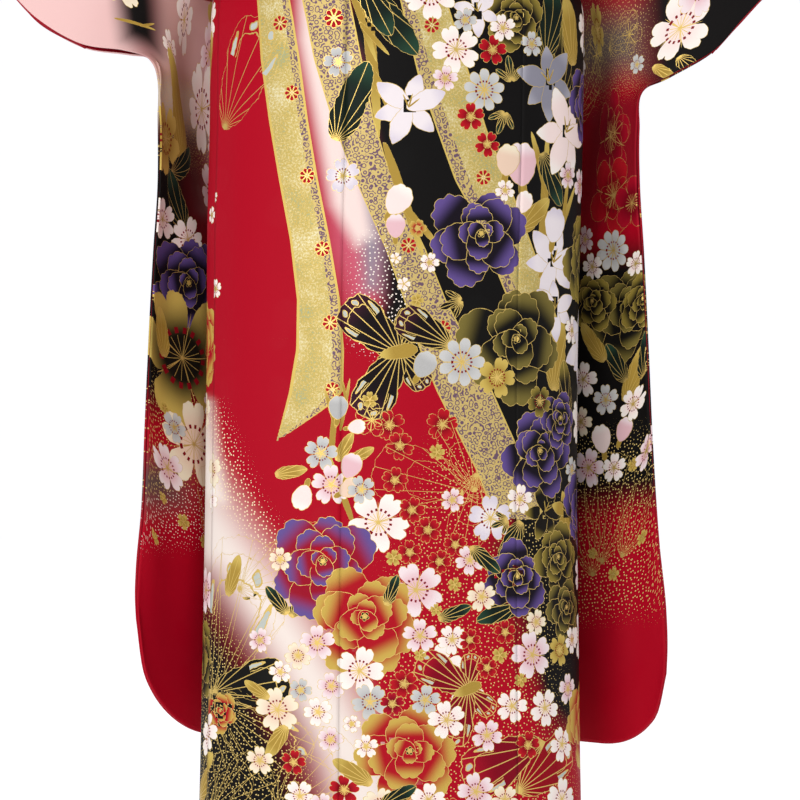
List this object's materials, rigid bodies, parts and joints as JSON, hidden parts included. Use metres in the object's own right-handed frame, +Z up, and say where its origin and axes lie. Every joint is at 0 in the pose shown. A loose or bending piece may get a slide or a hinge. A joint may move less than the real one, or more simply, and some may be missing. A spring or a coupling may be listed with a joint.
{
  "type": "worn furisode kimono with obi",
  "caption": "Long-sleeved formal kimono in its hollow worn form: crossed fronts, tucked waist under a plain band, and hanging sleeves.",
  "frame": {"origin": "on the shoulder line at the middle of the neck, where the wearer's shoulders carry the garment", "axes": "+Z up along the garment's length, +X to the wearer's left, the front faces -Y"},
  "size_m": [0.9332, 0.3312, 1.4177],
  "materials": {
    "patterned_silk": "crimson and black crepe silk dyed with flowers, with gold outlines",
    "crimson_lining": "plain crimson lining silk",
    "obi_silk": "plain woven gold silk band"
  },
  "bodies": {
    "root": {"body_left": "patterned_silk", "body_right": "patterned_silk", "back_left": "patterned_silk", "back_right": "patterned_silk", "front_left": "patterned_silk", "front_right": "patterned_silk", "okumi_left": "patterned_silk", "okumi_right": "patterned_silk", "sleeve_left": "patterned_silk", "sleeve_right": "patterned_silk", "collar": "patterned_silk", "cuff_lining_left": "crimson_lining", "cuff_lining_right": "crimson_lining", "obi": "obi_silk"}
  },
  "joints": []
}
